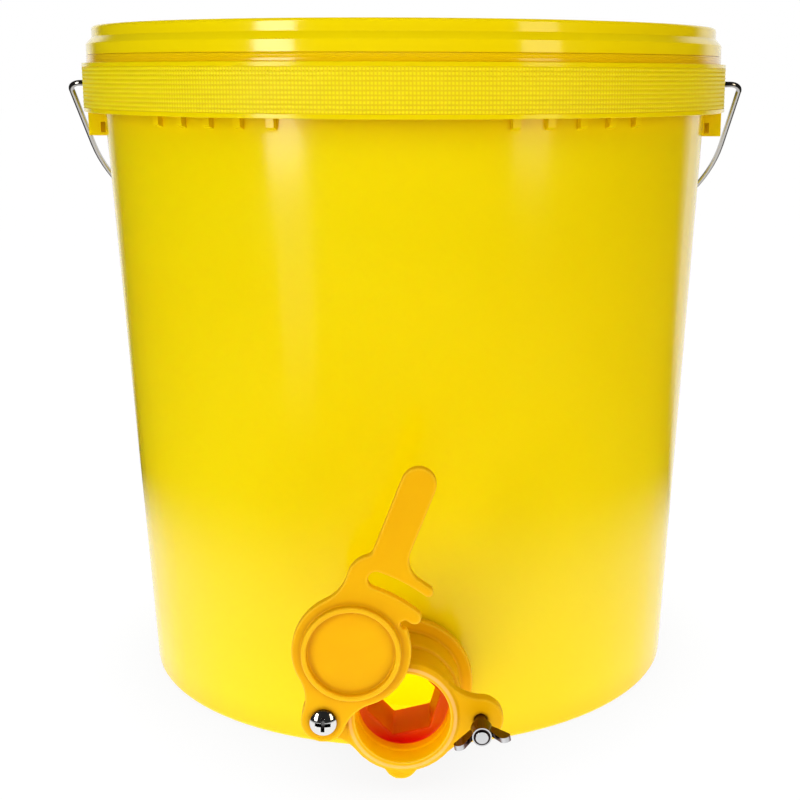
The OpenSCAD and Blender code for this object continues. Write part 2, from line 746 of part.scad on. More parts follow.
module pivot_washer() {
    color("silver") at_gate() translate([-stud_x, 0, seat_z - washer_t]) difference() {
        cylinder(r = washer_d / 2, h = washer_t);
        translate([0, 0, -eps]) cylinder(r = bore_r, h = washer_t + 2 * eps);
    }
}

module pivot_nut() {
    color("silver") at_gate() translate([-stud_x, 0, lock_z]) difference() {
        cylinder(r = hex_af / 2 * hex_k, h = lock_h, $fn = 6);
        translate([0, 0, -eps]) cylinder(r = bore_r, h = lock_h + 2 * eps);
    }
}

module clamp_bolt() {
    color("silver") at_gate() translate([stud_x, 0, 0]) {
        translate([0, 0, bolt_seat - bolt_head_h])
            cylinder(r = hex_af / 2 * hex_k, h = bolt_head_h, $fn = 6);
        translate([0, 0, bolt_seat - eps]) cylinder(r = shank_r, h = bolt_tip - bolt_seat + eps);
    }
}

// Where a line from point p touches a circle about c, on the side given as 1 or -1
function tangent_at(p, c, r, side) =
    let (d = p - c, a = atan2(d.y, d.x) + side * acos(r / norm(d)))
    c + r * [cos(a), sin(a)];

// One wing, seen from its side: x outwards, y along the bolt
module wing_outline() {
    tip = [wing_r - wing_tip, hub_nut_h + wing_rise - wing_tip];
    low = [hub_nut_r, wing_root];
    high = [hub_top_r, hub_nut_h - wing_root];
    polygon([[shank_r, low.y], low, tangent_at(low, tip, wing_tip - blend, 1),
             tangent_at(high, tip, wing_tip - blend, -1), high, [shank_r, high.y]]);
    translate(tip) circle(wing_tip);
}

module wing_nut() {
    color("silver") at_gate() translate([stud_x, 0, wing_z]) rotate([0, 0, wing_turn]) difference() {
        union() {
            cylinder(r1 = hub_nut_r, r2 = hub_top_r, h = hub_nut_h);
            for (s = [0, 180]) rotate([90, 0, s]) translate([0, 0, -wing_t / 2])
                linear_extrude(wing_t) wing_outline();
        }
        translate([0, 0, -eps]) cylinder(r = bore_r, h = hub_nut_h + 2 * eps);
    }
}

bucket();
lid();
bail();
bail_grip();
gate_body();
outer_gasket();
inner_gasket();
gate_nut();
swing_gate();
pivot_screw();
pivot_washer();
pivot_nut();
clamp_bolt();
wing_nut();
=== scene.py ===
import math

import bmesh
import bpy
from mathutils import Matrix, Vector


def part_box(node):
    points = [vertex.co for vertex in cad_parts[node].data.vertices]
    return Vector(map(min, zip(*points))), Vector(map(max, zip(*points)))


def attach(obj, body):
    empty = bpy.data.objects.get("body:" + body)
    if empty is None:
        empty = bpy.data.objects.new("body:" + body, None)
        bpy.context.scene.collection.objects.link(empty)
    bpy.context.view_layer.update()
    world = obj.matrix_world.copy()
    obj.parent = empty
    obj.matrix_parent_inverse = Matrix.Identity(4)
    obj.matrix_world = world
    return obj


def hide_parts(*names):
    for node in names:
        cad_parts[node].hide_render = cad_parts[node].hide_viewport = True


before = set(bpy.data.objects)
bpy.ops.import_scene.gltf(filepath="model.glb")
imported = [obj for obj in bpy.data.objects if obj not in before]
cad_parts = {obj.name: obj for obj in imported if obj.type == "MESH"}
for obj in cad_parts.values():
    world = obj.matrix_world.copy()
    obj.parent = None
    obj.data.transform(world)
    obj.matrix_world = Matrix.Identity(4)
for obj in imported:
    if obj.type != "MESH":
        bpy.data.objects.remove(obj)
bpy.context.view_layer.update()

# Tub: one moulded polypropylene pail with a tapered wall, a knurled collar, short ribs and two pocket lugs.
# The wall is thin, glossy, and a little uneven where the plastic flowed; its closed-in places, such as under the
# collar and round the gate, take a painted warm orange shade.
# The collar's turned ridges are shallower than the solid's, and its two plain lips are rounded.
MM = 0.001
weld_gap = 1e-6
flat_angle = math.radians(0.4)
sharp_angle = math.radians(32)
crisp_angle = math.radians(40)


def joined_copy(node):
    """An open copy of a piece of the frame, with its triangles joined and its flat faces made whole."""
    form = bmesh.new()
    form.from_mesh(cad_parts[node].data)
    bmesh.ops.remove_doubles(form, verts=form.verts, dist=weld_gap)
    bmesh.ops.dissolve_limit(form, angle_limit=flat_angle, verts=form.verts, edges=form.edges)
    return form


def round_edges(form, width, chosen=lambda middle: True):
    """Rounds the sharp edges whose middles are chosen, as a mould does."""
    edges = []
    for edge in form.edges:
        if len(edge.link_faces) == 2 and edge.calc_face_angle() > sharp_angle:
            if chosen((edge.verts[0].co + edge.verts[1].co) / 2):
                edges.append(edge)
    bmesh.ops.bevel(form, geom=edges, offset=width, offset_type="OFFSET", segments=3, profile=0.5,
                    affect="EDGES", clamp_overlap=True, loop_slide=False)


def softened(form, low, high, depth, share):
    """Leaves the turned ridges between two heights only a share of their depth on the radius."""
    ridges = [vert for vert in form.verts if low < vert.co.z < high]
    crest = max(vert.co.xy.length for vert in ridges)
    groove_floor = crest - 1.05 * depth
    for vert in ridges:
        reach = vert.co.xy.length
        if reach > groove_floor:
            vert.co.xy *= (crest - share * (crest - reach)) / reach


def finished(form, name, body, node, material):
    """Turns an open mesh into a smooth-shaded piece that rides on its body in place of a piece of the frame."""
    mesh = bpy.data.meshes.new(name)
    form.to_mesh(mesh)
    form.free()
    if "custom_normal" in mesh.attributes:
        mesh.attributes.remove(mesh.attributes["custom_normal"])
    mesh.shade_smooth()
    mesh.set_sharp_from_angle(angle=crisp_angle)
    mesh.materials.clear()
    mesh.materials.append(material)
    piece = bpy.data.objects.new(name, mesh)
    bpy.context.scene.collection.objects.link(piece)
    weighted = piece.modifiers.new("flat_faces", "WEIGHTED_NORMAL")
    weighted.keep_sharp = True
    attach(piece, body)
    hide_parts(node)


def set_inputs(tree, node, inputs):
    """Gives each named socket of a node its value, or a link where the value is another node's output."""
    for socket, value in inputs:
        if isinstance(value, bpy.types.NodeSocket):
            tree.links.new(value, node.inputs[socket])
        else:
            node.inputs[socket].default_value = value


def put(tree, kind, inputs=(), **settings):
    """Adds a node to a tree, with its settings first and then its inputs."""
    node = tree.nodes.new(kind)
    for setting, value in settings.items():
        setattr(node, setting, value)
    set_inputs(tree, node, inputs)
    return node


def spread(tree, value, low, high, start=0, end=1, smooth=False):
    """Carries a value from the span low to high over to the span start to end, and stops at its ends."""
    span = [("Value", value), ("From Min", low), ("From Max", high), ("To Min", start), ("To Max", end)]
    kind = "SMOOTHSTEP" if smooth else "LINEAR"
    return put(tree, "ShaderNodeMapRange", span, interpolation_type=kind).outputs["Result"]


def ramp(tree, value, stops):
    """The colour at a value between 0 and 1, along stops of a position and a colour each."""
    node = put(tree, "ShaderNodeValToRGB", [("Fac", value)])
    elements = node.color_ramp.elements
    elements[0].position, elements[0].color = stops[0]
    elements[1].position, elements[1].color = stops[-1]
    for position, colour in stops[1:-1]:
        elements.new(position).color = colour
    return node.outputs["Color"]


def blend(tree, share, under, over):
    """Mixes two colours, with the second one's share."""
    colours = [("Factor", share), ("A", under), ("B", over)]
    return put(tree, "ShaderNodeMix", colours, data_type="RGBA").outputs["Result"]


def noise(tree, place, scale, detail):
    """Soft irregular patches on a piece, between 0 and 1."""
    field = [("Vector", place), ("Scale", scale), ("Detail", detail)]
    return put(tree, "ShaderNodeTexNoise", field).outputs["Fac"]


def plastic(name, pale, deep, roughness, gleam, glow, patch, grain,
            painted_crease_shade=None, painted_shade_reach=3 * MM, edge=None):
    """Moulded plastic: two close colours in soft patches, uneven gloss, a faint grain, and a glow of light inside.
    Where they are given, it takes a painted shade colour in its closed-in corners and a painted highlight colour
    along its thin edges."""
    edge_reach = 1.5 * MM
    material = bpy.data.materials.new(name)
    material.use_nodes = True
    tree = material.node_tree
    place = put(tree, "ShaderNodeTexCoord").outputs["Object"]
    patches = noise(tree, place, patch, detail=3)
    tone = ramp(tree, patches, [(0.3, (*deep, 1)), (0.7, (*pale, 1))])
    # Painted shade in closed-in corners, and painted highlight along thin edges, each where its colour is given.
    for tint, reach, within in ((painted_crease_shade, painted_shade_reach, False), (edge, edge_reach, True)):
        if tint is None:
            continue
        openness = put(tree, "ShaderNodeAmbientOcclusion", [("Distance", reach)], inside=within).outputs["AO"]
        tone = blend(tree, spread(tree, openness, 0.4, 0.95), (*tint, 1), tone)
    pores = noise(tree, place, grain, detail=2)
    bump = put(tree, "ShaderNodeBump", [("Height", pores), ("Strength", 0.03), ("Distance", 0.4 * MM)])
    set_inputs(tree, tree.nodes["Principled BSDF"], [
        ("Base Color", tone),
        ("Roughness", spread(tree, patches, 0, 1, roughness - 0.05, roughness + 0.07)),
        ("Normal", bump.outputs["Normal"]),
        ("Specular IOR Level", gleam),
        ("Subsurface Weight", glow),
        ("Subsurface Radius", (1, 0.45, 0.03)),
        ("Subsurface Scale", 5 * MM)])
    return material


# The tub's plastic takes a painted warm orange shade where it is closed in, within 20 mm.
tub_yellow = plastic("tub_yellow", pale=(0.87, 0.71, 0.0), deep=(0.86, 0.69, 0.0), roughness=0.12,
                     gleam=0.28, glow=0.1, patch=14, grain=900,
                     painted_crease_shade=(0.88, 0.6, 0.0), painted_shade_reach=20 * MM)
collar_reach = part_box("bucket")[1].x
collar_low = 314 * MM
collar_high = 339 * MM
lip_height = 2 * MM
lip_round = 0.25 * MM
ridge_depth = 0.7 * MM
ridge_share = 0.5


def on_collar_lip(middle):
    """Whether an edge belongs to the collar's top or bottom lip."""
    if middle.xy.length <= collar_reach - 0.2 * MM:
        return False
    return middle.z > collar_high - MM or middle.z < collar_low + MM


tub_form = joined_copy("bucket")
softened(tub_form, collar_low + lip_height, collar_high - lip_height, ridge_depth, ridge_share)
round_edges(tub_form, lip_round, on_collar_lip)
finished(tub_form, "tub", "tub", "bucket", tub_yellow)

# Knurl: fine upright ribs across the collar's turned ridges, so that the two make a grid of small squares.
# They are moulded in the tub's own plastic and stop at the plain lips at the collar's top and bottom.
# The grid is duller than the wall, with a painted highlight over its crests and a painted shade in its grooves.
rib_pitch = 1.7 * MM
rib_radius = 0.5 * MM
rib_inside = 0.2 * MM
rib_sides = 16
rib_ring = collar_reach - rib_radius - rib_inside
rib_count = round(2 * math.pi * rib_ring / rib_pitch)
ridge_count = 10
knurl_middle = (collar_low + collar_high) / 2
knurl_height = collar_high - collar_low - 2 * lip_height
ridge_pitch = knurl_height / ridge_count
crest_painted_highlight = (0.95, 0.83, 0.0, 1)
groove_painted_shade = (0.78, 0.54, 0.0, 1)
groove_share = 0.55
knurl_dullness = 0.3

knurl_tree = bpy.data.node_groups.new("collar_knurl", "GeometryNodeTree")
sockets = {}
for label, kind in (("Geometry", "NodeSocketGeometry"), ("Radius", "NodeSocketFloat"),
                    ("Count", "NodeSocketInt"), ("Middle height", "NodeSocketFloat"),
                    ("Rib radius", "NodeSocketFloat"), ("Rib length", "NodeSocketFloat"),
                    ("Material", "NodeSocketMaterial")):
    sockets[label] = knurl_tree.interface.new_socket(label, in_out="INPUT", socket_type=kind).identifier
knurl_tree.interface.new_socket("Geometry", in_out="OUTPUT", socket_type="NodeSocketGeometry")
given = put(knurl_tree, "NodeGroupInput").outputs
ring = put(knurl_tree, "GeometryNodeMeshCircle", [("Vertices", given["Count"]), ("Radius", given["Radius"])])
lift = put(knurl_tree, "ShaderNodeCombineXYZ", [("Z", given["Middle height"])])
raised = put(knurl_tree, "GeometryNodeTransform", [
    ("Geometry", ring.outputs["Mesh"]),
    ("Translation", lift.outputs["Vector"])])
rib = put(knurl_tree, "GeometryNodeMeshCylinder", [
    ("Vertices", rib_sides),
    ("Radius", given["Rib radius"]),
    ("Depth", given["Rib length"])])
where = put(knurl_tree, "GeometryNodeInputPosition")
outward = put(knurl_tree, "FunctionNodeAlignRotationToVector", [("Vector", where.outputs["Position"])],
              axis="X", pivot_axis="Z")
scatter = put(knurl_tree, "GeometryNodeInstanceOnPoints", [
    ("Points", raised.outputs["Geometry"]),
    ("Instance", rib.outputs["Mesh"]),
    ("Rotation", outward.outputs["Rotation"])])
real = put(knurl_tree, "GeometryNodeRealizeInstances", [("Geometry", scatter.outputs["Instances"])])
smooth_ribs = put(knurl_tree, "GeometryNodeSetShadeSmooth", [("Geometry", real.outputs["Geometry"])])
paint = put(knurl_tree, "GeometryNodeSetMaterial", [
    ("Geometry", smooth_ribs.outputs["Geometry"]),
    ("Material", given["Material"])])
put(knurl_tree, "NodeGroupOutput", [("Geometry", paint.outputs["Geometry"])])


def grown(name, tree, values):
    """Runs a node tree on an empty mesh and gives the result back as a plain mesh object."""
    seed = bpy.data.objects.new(name + "_seed", bpy.data.meshes.new(name + "_seed"))
    bpy.context.scene.collection.objects.link(seed)
    modifier = seed.modifiers.new("grow", "NODES")
    modifier.node_group = tree
    for identifier, value in values.items():
        modifier[identifier] = value
    ready = seed.evaluated_get(bpy.context.evaluated_depsgraph_get())
    mesh = bpy.data.meshes.new_from_object(ready)
    bpy.data.objects.remove(seed)
    piece = bpy.data.objects.new(name, mesh)
    bpy.context.scene.collection.objects.link(piece)
    return piece


def reckon(tree, operation, *numbers):
    """One step of a sum; each input is a number or another node's output."""
    return put(tree, "ShaderNodeMath", enumerate(numbers), operation=operation).outputs["Value"]


def lay_over(material, share, colour):
    """Lays a colour over a material's own, by its share there."""
    tree = material.node_tree
    own = tree.nodes["Principled BSDF"].inputs["Base Color"]
    tree.links.new(blend(tree, share, own.links[0].from_socket, colour), own)


tub_tree = tub_yellow.node_tree
tub_place = put(tub_tree, "ShaderNodeTexCoord").outputs["Object"]
tub_spot = put(tub_tree, "ShaderNodeSeparateXYZ", [("Vector", tub_place)]).outputs
bearing = reckon(tub_tree, "ARCTAN2", tub_spot["Y"], tub_spot["X"])
across = reckon(tub_tree, "COSINE", reckon(tub_tree, "MULTIPLY", bearing, rib_count))
climb = reckon(tub_tree, "SUBTRACT", tub_spot["Z"], collar_low + lip_height + ridge_pitch / 2)
along = reckon(tub_tree, "COSINE", reckon(tub_tree, "MULTIPLY", climb, 2 * math.pi / ridge_pitch))
groove = spread(tub_tree, reckon(tub_tree, "MINIMUM", across, along), 0.2, -0.9, end=groove_share)
off_middle = reckon(tub_tree, "ABSOLUTE", reckon(tub_tree, "SUBTRACT", tub_spot["Z"], knurl_middle))
on_band = reckon(tub_tree, "LESS_THAN", off_middle, knurl_height / 2)
square_x = reckon(tub_tree, "MULTIPLY", tub_spot["X"], tub_spot["X"])
square_y = reckon(tub_tree, "MULTIPLY", tub_spot["Y"], tub_spot["Y"])
tub_reach = reckon(tub_tree, "SQRT", reckon(tub_tree, "ADD", square_x, square_y))
on_face = reckon(tub_tree, "GREATER_THAN", tub_reach, collar_reach - MM)
on_knurl = reckon(tub_tree, "MULTIPLY", on_band, on_face)
# Painted highlight over the whole knurl band, then painted shade in its grooves.
lay_over(tub_yellow, on_knurl, crest_painted_highlight)
lay_over(tub_yellow, reckon(tub_tree, "MULTIPLY", groove, on_knurl), groove_painted_shade)
tub_gloss = tub_tree.nodes["Principled BSDF"].inputs["Roughness"]
knurl_dull = reckon(tub_tree, "MULTIPLY", on_knurl, knurl_dullness)
tub_tree.links.new(reckon(tub_tree, "ADD", tub_gloss.links[0].from_socket, knurl_dull), tub_gloss)
collar_knurl = grown("collar_knurl", knurl_tree, {
    sockets["Radius"]: rib_ring,
    sockets["Count"]: rib_count,
    sockets["Middle height"]: knurl_middle,
    sockets["Rib radius"]: rib_radius,
    sockets["Rib length"]: knurl_height,
    sockets["Material"]: tub_yellow})
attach(collar_knurl, "tub")

# Gate body: a moulded tube with a mouth ring, two ears and a stepped flange, put through the hole in the wall.
# The plastic is a warmer amber than the tub, with a softer gloss and soft edges all over; it takes a painted dark
# orange shade in its corners and a painted pale highlight along its edges.
# The passage is painted by depth with light and shade: painted light in the mouth, a painted red shade from the
# ledge through the key, redder low down, and a painted yellow glow at its end.
gate_step = 0.6 * MM
gate_rounds = 3
gate_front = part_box("gate_body")[0].y
gate_axis = (0, 0, 40 * MM)
bore_reach = 22.9 * MM
tail_reach = 24.5 * MM
depth_shown = 50 * MM
key_end = 44 * MM
tail_start = 45 * MM
bore_low = 20.5 * MM
bore_high = 29 * MM
rim_painted_light = (0.95, 0.62, 0.05, 1)
mouth_painted_light = (1, 0.66, 0, 1)
bore_wall_painted_light = (1, 0.6, 0, 1)
step_painted_shade = (1, 0.48, 0, 1)
tail_painted_glow = (1, 0.85, 0, 1)
low_painted_shades = ((0.78, 0.004, 0, 1), (0.72, 0.05, 0, 1))
high_painted_shades = ((0.75, 0.11, 0, 1), (0.72, 0.065, 0, 1))
lip_span = 30 * MM
lip_depth = 0.8 * MM
lip_painted_sheen = (0.9, 0.53, 0.13, 1)
black = (0, 0, 0, 1)
white = (1, 1, 1, 1)


def moulded(form, step, rounds):
    """Gives every edge the soft rounding of a moulding: the form is rebuilt in small steps, then smoothed."""
    mesh = bpy.data.meshes.new("mould")
    form.to_mesh(mesh)
    form.free()
    draft = bpy.data.objects.new("mould", mesh)
    bpy.context.scene.collection.objects.link(draft)
    rebuild = draft.modifiers.new("rebuild", "REMESH")
    rebuild.mode = "VOXEL"
    rebuild.voxel_size = step
    soften = draft.modifiers.new("soften", "SMOOTH")
    soften.factor = 0.5
    soften.iterations = rounds
    cast = bpy.data.meshes.new_from_object(draft.evaluated_get(bpy.context.evaluated_depsgraph_get()))
    soft = bmesh.new()
    soft.from_mesh(cast)
    bpy.data.objects.remove(draft)
    bpy.data.meshes.remove(mesh)
    bpy.data.meshes.remove(cast)
    return soft


def reckon_vector(tree, operation, *vectors):
    """One step of a sum with places and directions; a length or a dot product comes back as a number."""
    node = put(tree, "ShaderNodeVectorMath", enumerate(vectors), operation=operation)
    return node.outputs["Value" if operation in ("LENGTH", "DOT_PRODUCT") else "Vector"]


def off_axis(tree, place, middle):
    """How far a place lies from the axis that runs along Y through a middle point."""
    offset = reckon_vector(tree, "SUBTRACT", place, middle)
    return reckon_vector(tree, "LENGTH", reckon_vector(tree, "MULTIPLY", offset, (1, 0, 1)))


# The gate's plastic takes a painted dark orange shade in its corners and a painted pale highlight along its edges.
gate_amber = plastic("gate_amber", pale=(0.86, 0.475, 0.0), deep=(0.84, 0.44, 0.0), roughness=0.36,
                     gleam=0.1, glow=0.1, patch=45, grain=1400, painted_crease_shade=(0.55, 0.2, 0.0), edge=(1.0, 0.68, 0.05))
bore_painted_light = gate_amber.copy()
bore_painted_light.name = "bore_painted_light"
bore_tree = bore_painted_light.node_tree
bore_place = put(bore_tree, "ShaderNodeTexCoord").outputs["Object"]
bore_spot = put(bore_tree, "ShaderNodeSeparateXYZ", [("Vector", bore_place)]).outputs
bore_depth = spread(bore_tree, bore_spot["Y"], gate_front, gate_front + depth_shown)
bore_height = spread(bore_tree, bore_spot["Z"], bore_low, bore_high)
bore_ramps = []
# Painted light and shade down the passage, with a redder painted shade low down and a painted glow at its end.
for ledge_painted_shade, key_painted_shade in (low_painted_shades, high_painted_shades):
    depth_painted_colours = ((0.5 * MM, rim_painted_light), (0.9 * MM, mouth_painted_light), (12 * MM, bore_wall_painted_light),
                     (17.5 * MM, step_painted_shade), (18.1 * MM, ledge_painted_shade), (18.7 * MM, ledge_painted_shade),
                     (20 * MM, key_painted_shade), (44.6 * MM, key_painted_shade), (45.3 * MM, tail_painted_glow),
                     (depth_shown, tail_painted_glow))
    depth_stops = [(depth / depth_shown, colour) for depth, colour in depth_painted_colours]
    bore_ramps.append(ramp(bore_tree, bore_depth, depth_stops))
bore_painted_colour = blend(bore_tree, bore_height, *bore_ramps)
bore_radius = off_axis(bore_tree, bore_place, gate_axis)
bore_limit = spread(bore_tree, bore_depth, key_end / depth_shown, tail_start / depth_shown,
                    bore_reach, tail_reach)
lay_over(bore_painted_light, reckon(bore_tree, "LESS_THAN", bore_radius, bore_limit), bore_painted_colour)
# A painted peach sheen on the mouth's flat front face.
lip_shades = ((23.7 * MM, black), (24.1 * MM, white), (25.2 * MM, white), (25.6 * MM, black))
lip_stops = [(radius / lip_span, shade) for radius, shade in lip_shades]
lip_sheen_ring = ramp(bore_tree, spread(bore_tree, bore_radius, 0, lip_span), lip_stops)
lip_front = reckon(bore_tree, "LESS_THAN", bore_depth, lip_depth / depth_shown)
lay_over(bore_painted_light, reckon(bore_tree, "MULTIPLY", lip_sheen_ring, lip_front), lip_painted_sheen)
gate_form = moulded(joined_copy("gate_body"), gate_step, gate_rounds)
finished(gate_form, "gate_tube", "tub", "gate_body", bore_painted_light)

# Gaskets: two black rubber rings, one on each side of the tub's wall.
# They are squeezed to the wall's curve, between the gate's flange and the ring nut.
gasket_black = plastic("gasket_black", pale=(0.03, 0.03, 0.03), deep=(0.02, 0.02, 0.02), roughness=0.6,
                       gleam=0.4, glow=0, patch=60, grain=2500)
for gasket_node, gasket_name in (("outer_gasket", "gasket_outside"), ("inner_gasket", "gasket_inside")):
    finished(joined_copy(gasket_node), gasket_name, "tub", gasket_node, gasket_black)

# Ring nut: a notched ring of the gate's amber plastic, inside the tub.
# It is screwed on the gate's tail by hand and pulls the gate against the wall.
nut_round = 0.6 * MM
nut_form = joined_copy("gate_nut")
round_edges(nut_form, nut_round)
finished(nut_form, "ring_nut", "tub", "gate_nut", gate_amber)

# Swing gate: a flat moulded lever with a rimmed closing disc, a pivot eye, a hooked slot and a thumb handle.
# It is the same amber plastic as the gate body, with the same painted shade in its corners and painted highlight
# along its edges, and turns on the pivot screw.
lever_step = 0.45 * MM
lever_rounds = 5
lever_form = moulded(joined_copy("swing_gate"), lever_step, lever_rounds)
finished(lever_form, "swing_lever", "lever", "swing_gate", gate_amber)


# Fasteners: the screw that the lever turns on, with its washer and lock nut, and a bolt with a wing nut.
# All are bright plated steel, with a painted dark shade where other pieces close them in, as in the screw's cross
# recess. The bolt and the wing nut have painted light on their front faces and painted shade on their sides.
# The wing nut's hub is sunk round the bolt's end, and a near-black shade is painted there.
def metal(name, colour, shade, roughness, streak, front_lit=False):
    """Bright metal with fine scratches that change its gloss, and a painted shade where other pieces close it in;
    front-lit metal is instead painted light on its front faces only, and painted shade on the rest."""
    material = bpy.data.materials.new(name)
    material.use_nodes = True
    tree = material.node_tree
    place = put(tree, "ShaderNodeTexCoord").outputs
    scratches = noise(tree, place["Object"], streak, detail=5)
    # Front-lit metal is painted light on its front faces and painted shade on the rest; the other is painted shade
    # where it is closed in.
    if front_lit:
        light = reckon_vector(tree, "DOT_PRODUCT", place["Normal"], (0, -1, 0))
    else:
        light = put(tree, "ShaderNodeAmbientOcclusion", [("Distance", 15 * MM)]).outputs["AO"]
    set_inputs(tree, tree.nodes["Principled BSDF"], [
        ("Base Color", ramp(tree, light, [(0.5, (*shade, 1)), (0.9, (*colour, 1))])),
        ("Roughness", spread(tree, scratches, 0, 1, roughness * 0.6, roughness * 1.5)),
        ("Metallic", 1)])
    return material


bright_plate = metal("bright_plate", colour=(0.85, 0.84, 0.82), shade=(0.012, 0.01, 0.01), roughness=0.07,
                     streak=400)
front_lit_plate = metal("front_lit_plate", colour=(0.7, 0.7, 0.71), shade=(0.1, 0.04, 0.025), roughness=0.07,
                     streak=400, front_lit=True)
wing_plate = front_lit_plate.copy()
wing_plate.name = "wing_plate"
hub_reach = 3.9 * MM
hub_painted_shade = (0.03, 0.02, 0.02, 1)
stud_low, stud_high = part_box("clamp_bolt")
wing_tree = wing_plate.node_tree
wing_place = put(wing_tree, "ShaderNodeTexCoord").outputs["Object"]
hub_radius = off_axis(wing_tree, wing_place, (stud_low + stud_high) / 2)
# A near-black painted shade round the bolt's end, in the wing nut's sunk hub.
lay_over(wing_plate, reckon(wing_tree, "LESS_THAN", hub_radius, hub_reach), hub_painted_shade)
for fastener_node, fastener_name, fastener_body, fastener_round, fastener_metal in (
        ("pivot_screw", "cross_screw", "tub", 0.25 * MM, bright_plate),
        ("pivot_washer", "plain_washer", "tub", 0.2 * MM, bright_plate),
        ("pivot_nut", "lock_nut", "tub", 0.4 * MM, bright_plate),
        ("clamp_bolt", "clamp_stud", "tub", 0.4 * MM, front_lit_plate),
        ("wing_nut", "wing_clamp", "wing", 0.4 * MM, wing_plate)):
    fastener_form = joined_copy(fastener_node)
    round_edges(fastener_form, fastener_round)
    finished(fastener_form, fastener_name, fastener_body, fastener_node, fastener_metal)

# Bail: one length of drawn steel wire, bent to hook into the collar.
# A roller of the tub's plastic turns on its middle, for the hand.
roller_round = 0.4 * MM
wire_steel = metal("wire_steel", colour=(0.52, 0.5, 0.47), shade=(0.12, 0.1, 0.08), roughness=0.12, streak=250)
finished(joined_copy("bail"), "bail_wire", "bail", "bail", wire_steel)
grip_form = joined_copy("bail_grip")
round_edges(grip_form, roller_round)
finished(grip_form, "hand_roller", "grip", "bail_grip", tub_yellow)

# Lid: a moulded press-on lid with a raised chime, a sloped shoulder, a plain skirt and a ridged tear strip.
# It is glossier than the tub, of the same plastic, and snaps over the tub's rim.
# The strip is painted a deeper orange shade, as it lies in shade between the skirt and the collar, and it all but
# meets the collar.
skirt_reach = 168 * MM
skirt_round = 0.7 * MM
strip_low = 339.5 * MM
strip_high = 342.9 * MM
strip_depth = 1.1 * MM
strip_share = 0.2
strip_margin = 0.5 * MM
strip_gap = 0.06 * MM
strip_painted_shade = (0.9, 0.62, 0.0, 1)
lid_yellow = plastic("lid_yellow", pale=(0.93, 0.755, 0.0), deep=(0.92, 0.735, 0.0), roughness=0.1,
                     gleam=0.5, glow=0, patch=14, grain=900)
lid_tree = lid_yellow.node_tree
lid_place = put(lid_tree, "ShaderNodeTexCoord").outputs["Object"]
lid_level = put(lid_tree, "ShaderNodeSeparateXYZ", [("Vector", lid_place)]).outputs["Z"]
strip_middle = (strip_low + strip_high) / 2
strip_half = (strip_high - strip_low) / 2 + strip_margin
# Painted shade over the tear strip.
lay_over(lid_yellow, reckon(lid_tree, "COMPARE", lid_level, strip_middle, strip_half), strip_painted_shade)
lid_form = joined_copy("lid")
softened(lid_form, strip_low, strip_high, strip_depth, strip_share)
for strip_vert in lid_form.verts:
    if abs(strip_vert.co.z - strip_low) < 0.05 * MM and strip_vert.co.xy.length > skirt_reach:
        strip_vert.co.z = collar_high + strip_gap
round_edges(lid_form, skirt_round, lambda middle: middle.xy.length > skirt_reach and middle.z > strip_high)
finished(lid_form, "lid_cover", "lid", "lid", lid_yellow)

# Floor: a plain pale studio floor that looks white, with a painted contact shadow only where the tub stands on it.
# It throws light up at the lowest part of the wall, and in shine it is white nearby and straight behind.
# Elsewhere its shine is dark, but for a faint painted reflection of the left soft box, a streak that carries it
# down the wall.
scene = bpy.context.scene
scene.view_settings.view_transform = "Standard"
floor_half = 12.0
floor_paint = (0.9, 0.9, 0.9, 1)
floor_white_level = 1.02
floor_seen_share = 0.98
floor_bounce_level = 0.95
contact_reach = 0.12
contact_painted_shadow = (0.85, 0.85, 0.85, 1)
near_radius = 0.27
near_end = 0.47
far_level = 0.02
straight_behind = (0.113, 0.994, 0)
behind_white = 0.82
behind_dark = 0.68
left_bearing = -41.5
streak_start = (-0.056, -0.15, 0)
streak_heading = (math.sin(math.radians(left_bearing)), -math.cos(math.radians(left_bearing)), 0)
streak_edge = math.cos(math.radians(8.5))
streak_core = math.cos(math.radians(6.5))
streak_near = 0.5
streak_far = 1.1
streak_gleam = 0.8
floor_mesh = bpy.data.meshes.new("floor")
floor_mesh.from_pydata([(-floor_half, -floor_half, 0), (floor_half, -floor_half, 0),
                        (floor_half, floor_half, 0), (-floor_half, floor_half, 0)], [], [(0, 1, 2, 3)])
floor_white = bpy.data.materials.new("floor_white")
floor_white.use_nodes = True
floor_tree = floor_white.node_tree
floor_tree.nodes.remove(floor_tree.nodes["Principled BSDF"])
floor_path = put(floor_tree, "ShaderNodeLightPath").outputs
floor_place = put(floor_tree, "ShaderNodeTexCoord").outputs["Object"]
floor_distance = reckon_vector(floor_tree, "LENGTH", floor_place)
floor_near = spread(floor_tree, floor_distance, near_radius, near_end, 1, far_level, smooth=True)
floor_matt = put(floor_tree, "ShaderNodeBsdfDiffuse", [("Color", floor_paint)])
floor_bounce = put(floor_tree, "ShaderNodeEmission", [
    ("Strength", reckon(floor_tree, "MULTIPLY", floor_near, floor_bounce_level))])
floor_lit = put(floor_tree, "ShaderNodeAddShader", [
    (0, floor_matt.outputs["BSDF"]),
    (1, floor_bounce.outputs["Emission"])])
